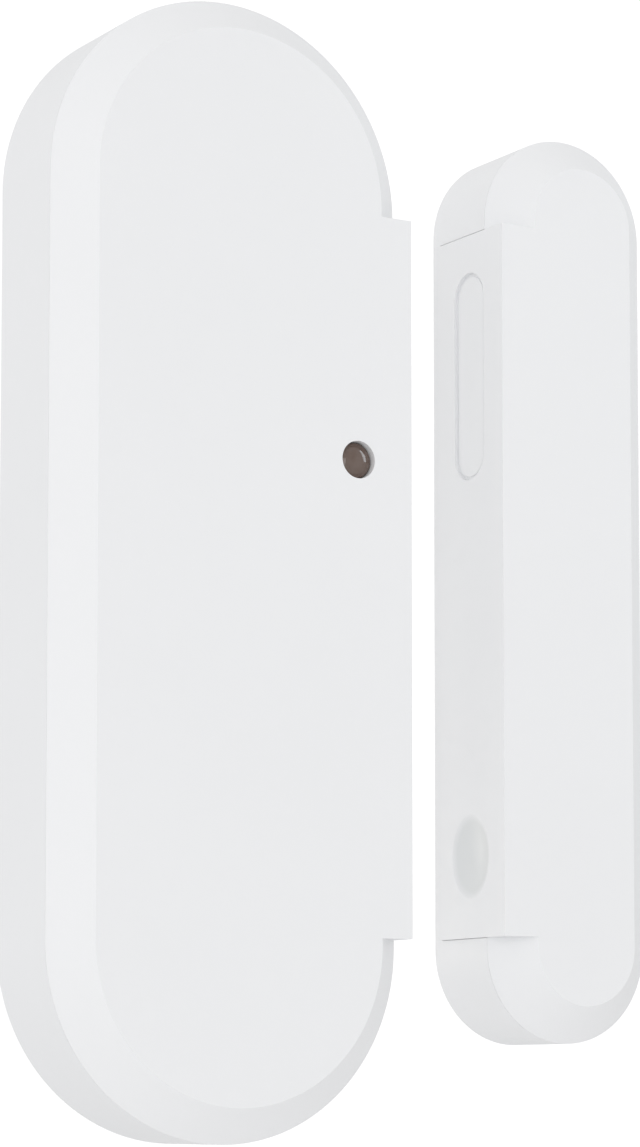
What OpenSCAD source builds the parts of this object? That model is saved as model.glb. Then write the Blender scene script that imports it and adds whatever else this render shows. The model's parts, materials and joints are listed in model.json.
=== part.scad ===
// Door contact sensor: a battery-powered radio sensor unit on the frame and a magnet unit on the door.
// Both stand upright on the wall plane y = 0 and face -Y. The origin is the centre of the sensor's back.
// Sub-parts are drawn lying down, x across, y up the unit and z away from the wall, then stood up.

/* [Sensor housing] */
// Height of the sensor housing
sensor_h = 96; // [92:1:120]
// Width of the sensor housing
sensor_w = 33; // [32.5:0.5:42]
// Depth of the sensor housing
sensor_d = 12; // [11.8:0.2:18]
// Bevel around the sensor's front face
sensor_bevel = 3; // [2:0.25:3.5]
// Length of the square block on the side that faces the magnet
sensor_block_l = 61.6; // [50:0.2:63]

/* [Magnet housing] */
// Height of the magnet housing
magnet_h = 80.6; // [78:0.2:100]
// Width of the magnet housing
magnet_w = 16.6; // [16:0.2:24]
// Depth of the magnet housing
magnet_d = 11.5; // [10.5:0.25:16]
// Bevel around the magnet housing's front face
magnet_bevel = 3.2; // [2:0.1:3.5]
// Length of the block on the side that faces the sensor
magnet_block_l = 62.3; // [58:0.1:63.4]
// How far the magnet's block stands out of its side wall
block_proud = 0.3; // [0:0.1:0.8]
// Gap between the two units with the door shut
air_gap = 9.7; // [5:0.1:15]
// How much higher the magnet unit is fixed than the sensor
magnet_rise = 0.9; // [0:0.1:2]
// Length of the bare label recess in the magnet's block
label_l = 18.5; // [12:0.5:22]
// Width of the label recess
label_w = 4.6; // [3:0.2:5.6]
// Depth of the label recess
label_depth = 0.2; // [0.1:0.05:0.4]
// Height of the label recess's centre above the magnet unit's centre
label_y = 18.5; // [14:0.5:19]
// Length of the oval thumb dimple in the magnet's block
dimple_l = 7.6; // [5:0.2:9]
// Width of the thumb dimple
dimple_w = 6; // [4:0.2:6.6]
// Depth of the thumb dimple
dimple_depth = 0.7; // [0.2:0.1:0.9]
// Distance of the dimple's centre below the magnet unit's centre
dimple_drop = 24; // [14:0.5:26]

/* [Shells] */
// Wall thickness of covers and bases
wall = 1.6; // [1.2:0.1:2]
// Floor thickness of both bases
floor_t = 1.1; // [1:0.1:1.6]
// Width of the visible seams between base and cover
seam = 0.1; // [0.05:0.05:0.4]
// Side clearance between a cover's lip and its base
lip_fit = 0.15; // [0.1:0.05:0.3]
// Thickness of the covers' locating lips
lip_t = 1; // [0.8:0.1:1.2]
// How deep the lips reach into the bases
lip_h = 2; // [1:0.25:3]
// How far the catch ribs stand out of the lips
catch_proud = 0.1; // [0.05:0.05:0.1]
// Thickness of the adhesive pads
pad_t = 0.8; // [0.5:0.1:1.5]
// Width of the sensor's adhesive pad
sensor_pad_w = 19.8; // [12:0.2:24]
// Length of the sensor's adhesive pad
sensor_pad_l = 58.3; // [40:0.1:66]
// Width of the magnet unit's adhesive pad
magnet_pad_w = 10; // [6:0.2:12]
// Length of the magnet unit's adhesive pad
magnet_pad_l = 54; // [40:0.5:58]

/* [Wall fixings] */
// Distance between the sensor's two wall screws
sensor_screw_span = 77; // [74:0.5:78]
// Radius of the sensor's wall screw holes
sensor_screw_r = 1.8; // [1.5:0.1:2]
// Distance between the magnet unit's two wall screws
magnet_screw_span = 66; // [64:0.5:67]
// Radius of the magnet unit's wall screw holes
magnet_screw_r = 1.6; // [1.5:0.1:1.8]
// Width of the raised ring around each wall screw hole
screw_ring_w = 1.8; // [1:0.1:2]
// Height of the raised ring around each wall screw hole
screw_ring_h = 0.9; // [0.5:0.1:1.2]

/* [Circuit board] */
// Length of the circuit board
board_l = 64; // [62:1:66]
// Thickness of the circuit board
board_t = 1; // [0.8:0.2:1.6]
// Gap between the board's long edges and the housing wall
board_gap = 1.3; // [0.5:0.1:1.4]
// Height of the supports under the board
standoff_h = 1.5; // [1.2:0.1:2]
// Distance of the board screws from the board's edges
board_screw_inset = 2.6; // [2.5:0.1:3]
// Radius of the board screws' threads
board_screw_r = 0.9; // [0.8:0.1:1]
// Radius of the board screws' heads
board_screw_head_r = 1.8; // [1.5:0.1:1.8]
// Height of the board screws' heads
board_screw_head_h = 1.1; // [0.8:0.1:1.3]
// Plastic left under each board screw hole
screw_skin = 0.3; // [0.2:0.1:0.5]

/* [Status light] */
// Radius of the light's lens
led_r = 1.5; // [1:0.1:1.5]
// Clearance around the lens in the cover
led_fit = 0.1; // [0.05:0.05:0.2]
// Distance of the light from the sensor's magnet side
led_inset = 5.3; // [5:0.1:6]
// Height of the light above the sensor's centre
led_y = 9.6; // [9:0.2:14]
// How far the lens lies below the front face
led_recess = 0.1; // [0:0.1:1]
// Height of the lens's shallow dome
led_dome_h = 0.5; // [0.3:0.1:0.9]
// Length of the lens from its collar's foot to the top of its dome
led_l = 5.3; // [4.5:0.1:5.4]
// Radius of the collar at the foot of the lens
led_collar_r = 1.9; // [1.8:0.1:2]
// Height of the collar at the foot of the lens
led_collar_h = 1; // [0.6:0.1:1.2]
// Distance between the light's two legs
led_pitch = 2; // [1.8:0.1:2]
// Thickness of the light's legs
led_leg_t = 0.45; // [0.4:0.05:0.5]

/* [Reed switch] */
// Length of the reed switch's glass tube
reed_l = 14; // [12:0.5:15]
// Radius of the glass tube
reed_r = 1; // [0.9:0.1:1.2]
// Wall of the glass tube
reed_wall = 0.3; // [0.25:0.05:0.35]
// Radius of the reed's leads
reed_lead_r = 0.25; // [0.2:0.05:0.3]
// Straight length of each lead outside the glass
reed_lead_l = 2.8; // [2:0.2:3]
// Distance of the reed's axis from the board's edge
reed_inset = 1.6; // [1.4:0.1:1.8]
// Height of the glass above the board
reed_lift = 0.4; // [0.2:0.1:0.8]
// Distance of the reed's middle below the sensor's centre
reed_drop = 5; // [5:0.5:8]
// Length over which the two reed blades overlap
blade_overlap = 1.6; // [1:0.2:2.4]
// Gap between the two reed blades
blade_gap = 0.12; // [0.1:0.02:0.2]

/* [Battery] */
// Radius of the coin cell
cell_r = 10; // [9:0.1:11]
// Thickness of the coin cell
cell_t = 3.2; // [2:0.1:3.2]
// Clearance around the cell in its tray
cell_fit = 0.15; // [0.1:0.05:0.3]
// Distance of the cell's centre to the left of the sensor's centre
cell_left = 1.5; // [1:0.1:2]
// Distance of the cell's centre below the sensor's centre
cell_drop = 20; // [20:0.5:21]
// Thickness of the battery tray's walls and floor
tray_t = 0.8; // [0.6:0.1:0.9]
// Thickness of the battery contacts
contact_t = 0.25; // [0.2:0.05:0.3]
// Width of the contact strap over the cell
strap_w = 6; // [4:0.5:8]

/* [Tamper switch] */
// Side of the tamper switch's square body
tamper_w = 6; // [5:0.5:6]
// Height of the tamper switch's body
tamper_h = 3.4; // [3:0.1:3.6]
// Radius of the plunger's stem
plunger_r = 1; // [0.8:0.1:1.1]
// Running clearance around the plunger's stem
plunger_fit = 0.06; // [0.03:0.01:0.1]
// Gap between the plunger's head and the shut cover
plunger_gap = 0.1; // [0.05:0.05:0.2]
// Radius of the plunger's head
plunger_head_r = 2.2; // [2:0.1:2.4]
// Thickness of the plunger's head
plunger_head_t = 0.8; // [0.6:0.1:1]
// Radius of the tamper spring's wire
spring_wire_r = 0.15; // [0.1:0.01:0.18]
// Turns of the tamper spring
spring_turns = 4; // [3:1:5]

/* [Pairing button] */
// Side of the pairing button's square body
button_w = 4.6; // [4:0.2:5]
// Height of the pairing button's body
button_h = 2; // [1.6:0.1:2.4]
// Radius of the button's cap
button_r = 1.1; // [0.8:0.1:1.3]
// Height of the cap above its body
button_rise = 1; // [0.6:0.1:1.2]
// Travel of the button
button_travel = 0.25; // [0.2:0.05:0.4]

/* [Radio] */
// Side of the radio chip
radio_w = 4; // [3:0.5:4]
// Length of the controller chip
controller_l = 6.5; // [5:0.5:7]
// Width of the controller chip
controller_w = 4.4; // [3.9:0.1:4.4]
// Height of the chips
chip_h = 1; // [0.8:0.1:1.2]
// Radius of the aerial coil
aerial_r = 2.2; // [1.8:0.1:2.4]
// Radius of the aerial's wire
aerial_wire_r = 0.35; // [0.3:0.05:0.4]
// Pitch of the aerial coil
aerial_pitch = 1.6; // [1.4:0.1:1.8]
// Turns of the aerial coil
aerial_turns = 8; // [6:1:9]

/* [Magnet] */
// Length of the bar magnet
bar_l = 30; // [20:1:34]
// Width of the bar magnet
bar_w = 6; // [5:0.2:6.2]
// Thickness of the bar magnet
bar_t = 5; // [4:0.2:5.4]
// Clearance around the bar magnet in its pocket
bar_fit = 0.15; // [0.1:0.05:0.3]
// Height of the pocket around the bar magnet
pocket_h = 3; // [2:0.2:3.6]
// Thickness of the pocket's walls
pocket_t = 0.8; // [0.8:0.1:1]

/* [Hidden] */
$fn = 64;

// Amount by which cutting tools reach past the surface they cut
over = 1;
// Clearance that keeps a seated or soldered piece clear of its neighbour
touch = 0.02;
// The catch ribs' spacing, length, height above the lip's edge and thickness
catch_spread = 19;
catch_l = 6;
catch_rise = 0.4;
catch_t = 0.6;
sensor_r = sensor_w/2;
sensor_half = sensor_h/2 - sensor_r;
sensor_front = pad_t + sensor_d;
sensor_ceiling = sensor_front - wall;
magnet_r = magnet_w/2;
magnet_half = magnet_h/2 - magnet_r;
magnet_front = pad_t + magnet_d;
magnet_x = sensor_r + air_gap + block_proud + magnet_r;
floor_top = pad_t + floor_t;
board_z = floor_top + standoff_h;
board_top = board_z + board_t;
board_half_w = sensor_r - wall - board_gap;
board_corner = 2;
board_screw_x = board_half_w - board_screw_inset;
board_screw_end = 1;
board_screw_y = board_l/2 - board_screw_inset - board_screw_end;
board_screw_places = [[-board_screw_x, board_screw_y], [board_screw_x, -board_screw_y]];
board_hole_fit = 0.2;
board_hole_r = board_screw_r + board_hole_fit;
screw_slot_l = 2.16;
screw_slot_w = 0.4;
boss_wall = 1.4;
ledge_w = 1.4;
ledge_l = 40;
led_x = sensor_r - led_inset;
led_top = sensor_front - led_recess;
led_foot = led_top - led_l;
led_dome_r = (pow(led_r, 2) + pow(led_dome_h, 2))/(2*led_dome_h);
led_cup_l = 2.9;
led_hole_fit = 0.18;
led_hole_r = led_leg_t/2 + led_hole_fit;
// Half the gap between the cup and the post inside the lens
led_post_gap = 0.2;
led_post_reach = 0.67;
led_spacer_t = 0.5;
reed_x = board_half_w - reed_inset;
reed_z = board_top + reed_lift + reed_r;
reed_hole_fit = 0.02;
reed_solder = 0.4;
blade_w = 0.8;
blade_t = 0.2;
cell_y = -cell_drop;
cell_z = board_top + tray_t + contact_t + cell_fit;
cell_rim = 0.3;
cell_cap_inset = 1.1;
tray_r = cell_r + cell_fit + tray_t;
// How far the cell stands above the tray's walls
cell_stand = 0.64;
tray_wall_h = cell_t - cell_stand;
// Length of the tray's straight arms beside the cell
tray_arm_l = 5;
strap_fit = 0.1;
strap_z = cell_z + cell_t + strap_fit;
// How far the strap crosses the cell above its centre
strap_rise = 3.5;
strap_y = cell_y + strap_rise;
strap_half = tray_r + touch + contact_t;
// Half the free width between the cover's lip and the reed's lead
battery_room = (sensor_r - wall - lip_fit - lip_t + reed_x - reed_lead_r)/2;
// Room kept beside the strap: a cell too wide for it moves over towards the reed
strap_room = 0.85;
cell_x = max(0, strap_half + strap_room - battery_room) - cell_left;
negative_pad_r = 3;
negative_tail_w = 3;
negative_tail_l = 7;
tamper_edge_gap = 1.1;
tamper_x = -board_half_w + tamper_w/2 + tamper_edge_gap;
tamper_y = 9;
tamper_top = board_top + tamper_h;
plunger_top = sensor_ceiling - plunger_gap;
plunger_foot_gap = 1.2;
plunger_foot = board_top + plunger_foot_gap;
spring_fit = 0.6;
spring_r = plunger_r + spring_fit;
coil_sides = 8;
coil_steps = 18;
button_edge_gap = 1;
button_x = -board_half_w + button_w/2 + button_edge_gap;
button_y = 0;
button_top = board_top + button_h;
// Depth of the well that the cap slides in
button_well = 1.2;
radio_place = [4, 9];
controller_place = [1.5, 0];
controller_pin_count = 8;
controller_pitch = 0.65;
controller_lift = 0.1;
pin_w = 0.2;
pin_t = 0.15;
pin_knee = 0.35;
pin_reach = 1;
pin_top = 0.6;
crystal_place = [-2.5, 8.5];
crystal_size = [4.6, 3.2, 1.2];
crystal_corner = 0.5;
buffer_place = [-3, 15.5];
buffer_size = [7.3, 4.3, 2.8];
buffer_corner = 0.3;
chip_part = [1.6, 0.8, 0.7];
chip_part_pitch = 2.4;
chip_part_count = 5;
chip_part_corner = 0.1;
chip_row_gap = 1.4;
chip_row_y = controller_w/2 + pin_reach + chip_row_gap + chip_part.y/2;
chip_row_x = controller_place.x - (chip_part_count - 1)/2*chip_part_pitch;
aerial_inset = 7.5;
aerial_lift = 0.4;
aerial_end_gap = 1;
aerial_end_x = board_half_w - board_corner - aerial_end_gap;
aerial_y = board_l/2 - aerial_inset;
aerial_z = board_top + aerial_r + aerial_wire_r + aerial_lift;
magnet_bar_x = -1.2;
magnet_bar_y = -reed_drop - magnet_rise;
hold_down_t = 1;
hold_down_w = 4;
hold_down_spread = 9;
dimple_rx = pow(dimple_l/2, 2)/(2*dimple_depth);
dimple_rz = pow(dimple_w/2, 2)/(2*dimple_depth);
// Height of the recess's and dimple's centres above the magnet unit's back
feature_h = 6.2;
feature_z = pad_t + feature_h;

module stand_up() {
    rotate([90, 0, 0]) children();
}

module at_magnet() {
    stand_up() translate([magnet_x, magnet_rise, 0]) children();
}

module stadium(r, half) {
    translate([-r, -half]) square([2*r, 2*half]);
    for (end = [-half, half]) translate([0, end]) circle(r);
}

module stadium_slab(r, half, z0, z1) {
    translate([0, 0, z0]) linear_extrude(z1 - z0) stadium(r, half);
}

module rounded_slab(w, l, corner, z0, z1) {
    translate([0, 0, z0]) linear_extrude(z1 - z0) {
        square([w - 2*corner, l], center = true);
        square([w, l - 2*corner], center = true);
        for (x = [-1, 1], y = [-1, 1]) translate([x*(w/2 - corner), y*(l/2 - corner)]) circle(corner);
    }
}

module block(x0, x1, y0, y1, z0, z1) {
    translate([x0, y0, z0]) cube([x1 - x0, y1 - y0, z1 - z0]);
}

// Round-ended solid from z0 to z1 whose front edge has a 45-degree bevel
module bevelled(r, half, z0, z1, bevel) {
    shoulder = z1 - bevel;
    for (end = [0, 1]) mirror([0, end, 0]) translate([0, half, 0]) rotate_extrude(angle = 180)
        polygon([[0, z0], [r, z0], [r, shoulder], [r - bevel, z1], [0, z1]]);
    translate([0, half, 0]) rotate([90, 0, 0]) linear_extrude(2*half) polygon([
        [-r, z0], [r, z0], [r, shoulder], [r - bevel, z1], [bevel - r, z1], [-r, shoulder]
    ]);
}

// Back shell: floor and side wall, open along the block side
module base_shell(r, half, front, bevel, block_half, side) {
    rim = front - bevel - seam;
    gap_half = block_half + seam;
    difference() {
        stadium_slab(r, half, pad_t, rim);
        stadium_slab(r - wall, half, floor_top, rim + over);
        mirror([side < 0 ? 1 : 0, 0, 0])
            block(r - wall - over, r + over, -gap_half, gap_half, floor_top, rim + over);
    }
}

// Front shell: bevelled face, locating lip, and the block whose wall reaches down to the base's floor
module cover_shell(r, half, front, bevel, block_half, side, proud) {
    shoulder = front - bevel;
    lip_r = r - wall - lip_fit;
    inner_bevel = bevel - wall*(2 - sqrt(2));
    difference() {
        union() {
            bevelled(r, half, shoulder, front, bevel);
            mirror([side < 0 ? 1 : 0, 0, 0])
                block(r - bevel - over, r + proud, -block_half, block_half, floor_top + seam, front);
        }
        bevelled(r - wall, half, pad_t, front - wall, inner_bevel);
    }
    difference() {
        stadium_slab(lip_r, half, shoulder - lip_h, shoulder + lip_t/2);
        stadium_slab(lip_r - lip_t, half, shoulder - lip_h - over, shoulder + lip_t);
        mirror([side < 0 ? 1 : 0, 0, 0])
            block(0, r + over, -block_half - lip_t, block_half + lip_t, 0, front);
    }
    catch_z = shoulder - lip_h + catch_rise;
    mirror([side < 0 ? 1 : 0, 0, 0]) for (y = [-catch_spread, 0, catch_spread])
        block(-lip_r - catch_proud, -lip_r + lip_t/2, y - catch_l/2, y + catch_l/2,
            catch_z, catch_z + catch_t);
}

module adhesive_pad(w, l) {
    stadium_slab(w/2, (l - w)/2, 0, pad_t);
}

module screw_rings(span, hole_r) {
    for (y = [-span/2, span/2]) translate([0, y, floor_top - over/2])
        cylinder(r = hole_r + screw_ring_w, h = screw_ring_h + over/2);
}

module screw_holes(span, hole_r) {
    for (y = [-span/2, span/2]) translate([0, y, 0])
        cylinder(r = hole_r, h = floor_top + screw_ring_h + over);
}

// Coil of round wire standing on z = 0, its axis along z
module coil(r, pitch, turns, wire_r) {
    steps = turns*coil_steps;
    points = [for (i = [0 : steps], k = [0 : coil_sides - 1])
        let (turn = 360*i/coil_steps, roll = 360*k/coil_sides, reach = r + wire_r*cos(roll))
        [reach*cos(turn), reach*sin(turn), wire_r + pitch*i/coil_steps + wire_r*sin(roll)]];
    skin = [for (i = [0 : steps - 1], k = [0 : coil_sides - 1])
        let (n = (k + 1)%coil_sides, a = i*coil_sides, b = a + coil_sides)
        each [[a + k, b + n, b + k], [a + k, a + n, b + n]]];
    first_end = [for (k = [coil_sides - 1 : -1 : 0]) k];
    last_end = [for (k = [0 : coil_sides - 1]) steps*coil_sides + k];
    polyhedron(points, concat(skin, [first_end, last_end]));
}

module sensor_base() {
    color("white") stand_up() difference() {
        union() {
            base_shell(sensor_r, sensor_half, sensor_front, sensor_bevel, sensor_block_l/2, 1);
            screw_rings(sensor_screw_span, sensor_screw_r);
            for (p = board_screw_places) translate([p.x, p.y, floor_top - floor_t/2])
                cylinder(r = board_screw_r + boss_wall, h = standoff_h + floor_t/2);
            for (x = [-board_half_w, board_half_w - ledge_w])
                block(x, x + ledge_w, -ledge_l/2, ledge_l/2, floor_top - floor_t/2, board_z);
        }
        screw_holes(sensor_screw_span, sensor_screw_r);
        for (p = board_screw_places) translate([p.x, p.y, pad_t + screw_skin])
            cylinder(r = board_screw_r + touch, h = board_z);
    }
}

module sensor_cover() {
    color("white") stand_up() difference() {
        cover_shell(sensor_r, sensor_half, sensor_front, sensor_bevel, sensor_block_l/2, 1, 0);
        translate([led_x, led_y, led_foot]) cylinder(r = led_r + led_fit, h = led_l + over);
    }
}

module sensor_adhesive_pad() {
    color("lightgray") stand_up() adhesive_pad(sensor_pad_w, sensor_pad_l);
}

module circuit_board() {
    color("seagreen") stand_up() difference() {
        rounded_slab(2*board_half_w, board_l, board_corner, board_z, board_top);
        for (p = board_screw_places) translate([p.x, p.y, board_z - over])
            cylinder(r = board_hole_r, h = board_t + 2*over);
        for (y = [-led_pitch/2, led_pitch/2]) translate([led_x, led_y + y, board_z - over])
            cylinder(r = led_hole_r, h = board_t + 2*over);
        for (end = [-1, 1]) translate([reed_x, end*(reed_l/2 + reed_lead_l) - reed_drop, board_z - over])
            cylinder(r = reed_lead_r + reed_hole_fit, h = board_t + 2*over);
        translate([aerial_end_x, aerial_y, board_z - over])
            cylinder(r = aerial_wire_r + touch, h = board_t + 2*over);
    }
}

module board_screws() {
    color("silver") stand_up() for (p = board_screw_places) translate([p.x, p.y, 0]) difference() {
        union() {
            translate([0, 0, board_top]) cylinder(r = board_screw_head_r, h = board_screw_head_h);
            translate([0, 0, pad_t + 2*screw_skin])
                cylinder(r = board_screw_r, h = board_top - pad_t - 2*screw_skin);
        }
        for (turn = [0, 90]) rotate([0, 0, turn]) translate([0, 0, board_top + board_screw_head_h])
            cube([screw_slot_l, screw_slot_w, board_screw_head_h], center = true);
    }
}

module reed_glass() {
    reed_end = [reed_x, reed_l/2 - reed_drop, reed_z];
    color("honeydew") stand_up() translate(reed_end) rotate([90, 0, 0]) difference() {
        cylinder(r = reed_r, h = reed_l);
        translate([0, 0, reed_r]) cylinder(r = reed_r - reed_wall, h = reed_l - 2*reed_r);
        translate([0, 0, -over]) cylinder(r = reed_lead_r + reed_hole_fit, h = reed_l + 2*over);
    }
}

// One reed blade with its lead: out through the glass end, then down into the board
module reed_blade(side) {
    reach = reed_l/2 + reed_lead_l;
    blade_end = blade_overlap/2;
    blade_start = reed_l/2 - reed_r - blade_t;
    lead_foot = board_z - reed_solder;
    blade_z = reed_z + side*(blade_gap + blade_t)/2;
    translate([0, reach, reed_z]) rotate([90, 0, 0]) cylinder(r = reed_lead_r, h = reach - blade_start);
    translate([0, reach, lead_foot]) cylinder(r = reed_lead_r, h = reed_z - lead_foot);
    translate([0, reach, reed_z]) sphere(reed_lead_r);
    block(-blade_w/2, blade_w/2, -blade_end, blade_start + blade_t, blade_z - blade_t/2, blade_z + blade_t/2);
}

module reed_blades() {
    color("gray") stand_up() translate([reed_x, -reed_drop, 0]) {
        reed_blade(1);
        mirror([0, 1, 0]) reed_blade(-1);
    }
}

// The light's two legs; the inner ends form the cup and the post that the lens encloses
module led_leg_pair() {
    cup_h = led_cup_l - led_collar_h;
    translate([led_x, led_y, 0]) for (side = [-1, 1])
        block(-led_leg_t/2, led_leg_t/2, side*led_pitch/2 - led_leg_t/2, side*led_pitch/2 + led_leg_t/2,
            board_z - reed_solder, led_foot + led_collar_h);
    translate([led_x, led_y, led_foot + led_collar_h]) {
        block(-led_leg_t/2, led_leg_t/2, -led_pitch/2 - led_leg_t/2, -led_post_gap, 0, led_leg_t);
        block(-led_leg_t/2, led_leg_t/2, led_post_gap, led_pitch/2 + led_leg_t/2, 0, led_leg_t);
        block(-led_leg_t, led_leg_t, -led_pitch/2, -led_post_gap, 0, cup_h);
        block(-led_leg_t/2, led_leg_t/2, led_post_gap, led_post_reach, 0, cup_h);
    }
}

module status_led_legs() {
    color("silver") stand_up() led_leg_pair();
}

module status_led_lens() {
    color("lightcyan") stand_up() difference() {
        translate([led_x, led_y, 0]) {
            translate([0, 0, led_foot]) cylinder(r = led_collar_r, h = led_collar_h);
            translate([0, 0, led_foot]) cylinder(r = led_r, h = led_l - led_dome_h);
            intersection() {
                translate([0, 0, led_top - led_dome_h]) cylinder(r = led_r, h = led_dome_h);
                translate([0, 0, led_top - led_dome_r]) sphere(led_dome_r);
            }
        }
        led_leg_pair();
    }
}

module status_led_spacer() {
    color("black") stand_up() translate([led_x, led_y, board_top]) difference() {
        cylinder(r = led_collar_r, h = led_foot - board_top);
        translate([0, 0, -over]) cylinder(r = led_collar_r - led_spacer_t, h = led_foot - board_top + 2*over);
    }
}

module battery_tray() {
    color("black") stand_up() translate([cell_x, cell_y, board_top]) difference() {
        union() {
            cylinder(r = tray_r, h = tray_t + tray_wall_h);
            block(-tray_r, tray_r, -tray_arm_l, 0, 0, tray_t + tray_wall_h);
        }
        translate([0, 0, tray_t]) cylinder(r = cell_r + cell_fit, h = tray_wall_h + over);
        block(-cell_r - cell_fit, cell_r + cell_fit, -tray_r - over, 0, tray_t, tray_t + tray_wall_h + over);
        block(-tray_r - over, tray_r + over, -tray_r - over, -tray_arm_l,
            tray_t, tray_t + tray_wall_h + over);
    }
}

module battery_cell() {
    color("silver") stand_up() translate([cell_x, cell_y, cell_z]) {
        translate([0, 0, cell_rim]) cylinder(r = cell_r, h = cell_t - cell_rim);
        cylinder(r = cell_r - cell_cap_inset, h = cell_t);
    }
}

module battery_strap() {
    color("gainsboro") stand_up() translate([cell_x, strap_y, 0]) {
        block(-strap_half, strap_half, -strap_w/2, strap_w/2, strap_z, strap_z + contact_t);
        for (side = [0, 1]) mirror([side, 0, 0])
            block(strap_half - contact_t, strap_half, -strap_w/2, strap_w/2, board_top, strap_z + contact_t);
    }
}

module battery_negative_contact() {
    color("gold") stand_up() translate([cell_x, cell_y, board_top + tray_t]) {
        cylinder(r = negative_pad_r, h = contact_t);
        block(-negative_tail_w/2, negative_tail_w/2, 0, negative_tail_l, 0, contact_t);
    }
}

module tamper_switch_body() {
    color("black") stand_up() translate([tamper_x, tamper_y, 0]) difference() {
        block(-tamper_w/2, tamper_w/2, -tamper_w/2, tamper_w/2, board_top, tamper_top);
        translate([0, 0, board_top + over/2]) cylinder(r = plunger_r + plunger_fit, h = tamper_h);
    }
}

module tamper_plunger() {
    color("white") stand_up() translate([tamper_x, tamper_y, 0]) {
        translate([0, 0, plunger_foot]) cylinder(r = plunger_r, h = plunger_top - plunger_foot);
        translate([0, 0, plunger_top - plunger_head_t]) cylinder(r = plunger_head_r, h = plunger_head_t);
    }
}

module tamper_spring() {
    room = plunger_top - plunger_head_t - tamper_top - 2*spring_wire_r;
    color("silver") stand_up() translate([tamper_x, tamper_y, tamper_top])
        coil(spring_r, room/spring_turns, spring_turns, spring_wire_r);
}

module pairing_button_body() {
    color("black") stand_up() translate([button_x, button_y, 0]) difference() {
        block(-button_w/2, button_w/2, -button_w/2, button_w/2, board_top, button_top);
        translate([0, 0, button_top - button_well]) cylinder(r = button_r + plunger_fit, h = button_h);
    }
}

module pairing_button_cap() {
    color("firebrick") stand_up() translate([button_x, button_y, button_top - button_well + 2*button_travel])
        cylinder(r = button_r, h = button_rise + button_well - 2*button_travel);
}

module controller_chip() {
    color("dimgray") stand_up() translate([controller_place.x, controller_place.y, board_top])
        block(-controller_l/2, controller_l/2, -controller_w/2, controller_w/2,
            controller_lift, controller_lift + chip_h);
}

module controller_pins() {
    first = -(controller_pin_count - 1)/2*controller_pitch;
    color("silver") stand_up() translate([controller_place.x, controller_place.y, board_top])
        for (side = [0, 1], i = [0 : controller_pin_count - 1]) mirror([0, side, 0])
            translate([first + i*controller_pitch, controller_w/2, 0]) {
                block(-pin_w/2, pin_w/2, 0, pin_knee + pin_t, pin_top - pin_t, pin_top);
                block(-pin_w/2, pin_w/2, pin_knee, pin_knee + pin_t, 0, pin_top);
                block(-pin_w/2, pin_w/2, pin_knee, pin_reach, 0, pin_t);
            }
}

module radio_chip() {
    color("dimgray") stand_up() translate([radio_place.x, radio_place.y, board_top])
        block(-radio_w/2, radio_w/2, -radio_w/2, radio_w/2, 0, chip_h);
}

module on_board(place, size, corner) {
    stand_up() translate([place.x, place.y, 0])
        rounded_slab(size.x, size.y, corner, board_top, board_top + size.z);
}

module crystal_can() {
    color("silver") on_board(crystal_place, crystal_size, crystal_corner);
}

module buffer_capacitor() {
    color("goldenrod") on_board(buffer_place, buffer_size, buffer_corner);
}

module chip_part_row(place) {
    for (i = [0 : chip_part_count - 1])
        on_board([place.x + i*chip_part_pitch, place.y], chip_part, chip_part_corner);
}

module chip_capacitors() {
    color("tan") chip_part_row([chip_row_x, controller_place.y + chip_row_y]);
}

module chip_resistors() {
    color("black") chip_part_row([chip_row_x, controller_place.y - chip_row_y]);
}

module aerial_coil() {
    start_x = aerial_end_x - aerial_pitch*aerial_turns;
    foot = board_z - reed_solder;
    color("chocolate") stand_up() {
        translate([start_x - aerial_wire_r, aerial_y, aerial_z]) rotate([90, 0, 90]) rotate([0, 0, -90])
            coil(aerial_r, aerial_pitch, aerial_turns, aerial_wire_r);
        translate([aerial_end_x, aerial_y, foot]) cylinder(r = aerial_wire_r, h = aerial_z - aerial_r - foot);
    }
}

module magnet_base() {
    pocket_w = bar_w + 2*bar_fit;
    pocket_l = bar_l + 2*bar_fit;
    color("white") at_magnet() difference() {
        union() {
            base_shell(magnet_r, magnet_half, magnet_front, magnet_bevel, magnet_block_l/2, -1);
            screw_rings(magnet_screw_span, magnet_screw_r);
            translate([magnet_bar_x, magnet_bar_y, floor_top - floor_t/2]) difference() {
                translate([-pocket_w/2 - pocket_t, -pocket_l/2 - pocket_t, 0])
                    cube([pocket_w + 2*pocket_t, pocket_l + 2*pocket_t, pocket_h + floor_t/2]);
                translate([-pocket_w/2, -pocket_l/2, floor_t/2]) cube([pocket_w, pocket_l, pocket_h + over]);
            }
        }
        screw_holes(magnet_screw_span, magnet_screw_r);
    }
}

module label_recess() {
    face = -magnet_r - block_proud;
    translate([face - over, label_y, feature_z]) rotate([0, 90, 0]) linear_extrude(over + label_depth)
        stadium(label_w/2, label_l/2 - label_w/2);
}

module thumb_dimple() {
    face = -magnet_r - block_proud;
    translate([face + dimple_depth - dimple_rx, -dimple_drop, feature_z]) rotate_extrude() intersection() {
        translate([dimple_rx - dimple_rz, 0]) circle(dimple_rz);
        translate([0, -dimple_rz]) square([2*dimple_rx, 2*dimple_rz]);
    }
}

module magnet_cover() {
    bar_top = floor_top + bar_t;
    color("white") at_magnet() {
        difference() {
            cover_shell(magnet_r, magnet_half, magnet_front, magnet_bevel, magnet_block_l/2, -1, block_proud);
            label_recess();
            thumb_dimple();
        }
        for (y = [-hold_down_spread, hold_down_spread]) translate([magnet_bar_x, magnet_bar_y + y, 0])
            block(-hold_down_w/2, hold_down_w/2, -hold_down_t/2, hold_down_t/2,
                bar_top + bar_fit, magnet_front - wall/2);
    }
}

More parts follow.
